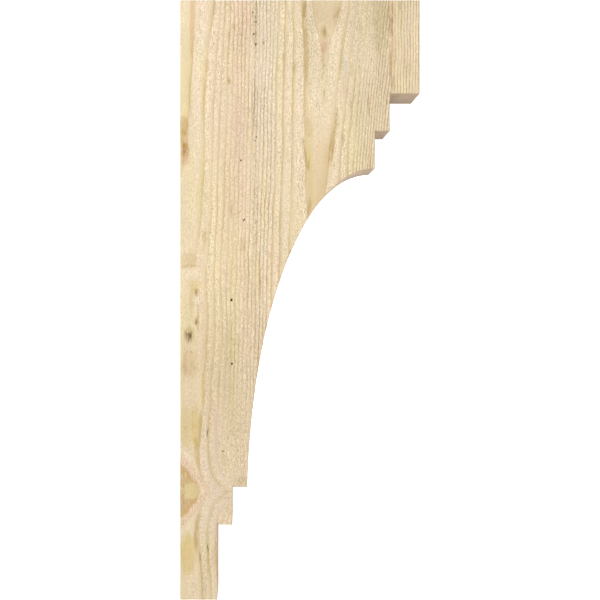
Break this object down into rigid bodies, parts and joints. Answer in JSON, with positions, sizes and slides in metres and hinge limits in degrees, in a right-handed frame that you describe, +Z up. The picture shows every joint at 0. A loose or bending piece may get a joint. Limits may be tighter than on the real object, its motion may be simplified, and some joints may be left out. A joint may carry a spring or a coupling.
{
  "type": "corbel bracket",
  "caption": "Flat timber corbel bracket with a stepped head, a concave elliptical sweep and a stepped tail, built into a wall to carry a beam end or an eave.",
  "frame": {"origin": "centre of the flat back face, where the bracket is built up against the wall", "axes": "+X straight out from the wall, +Y along the wall across the bracket's thickness, +Z up"},
  "size_m": [0.4064, 0.1396, 1.016],
  "materials": {
    "rough_sawn_douglas_fir": "matte"
  },
  "bodies": {
    "root": {"corbel_bracket": "rough_sawn_douglas_fir"}
  },
  "joints": []
}
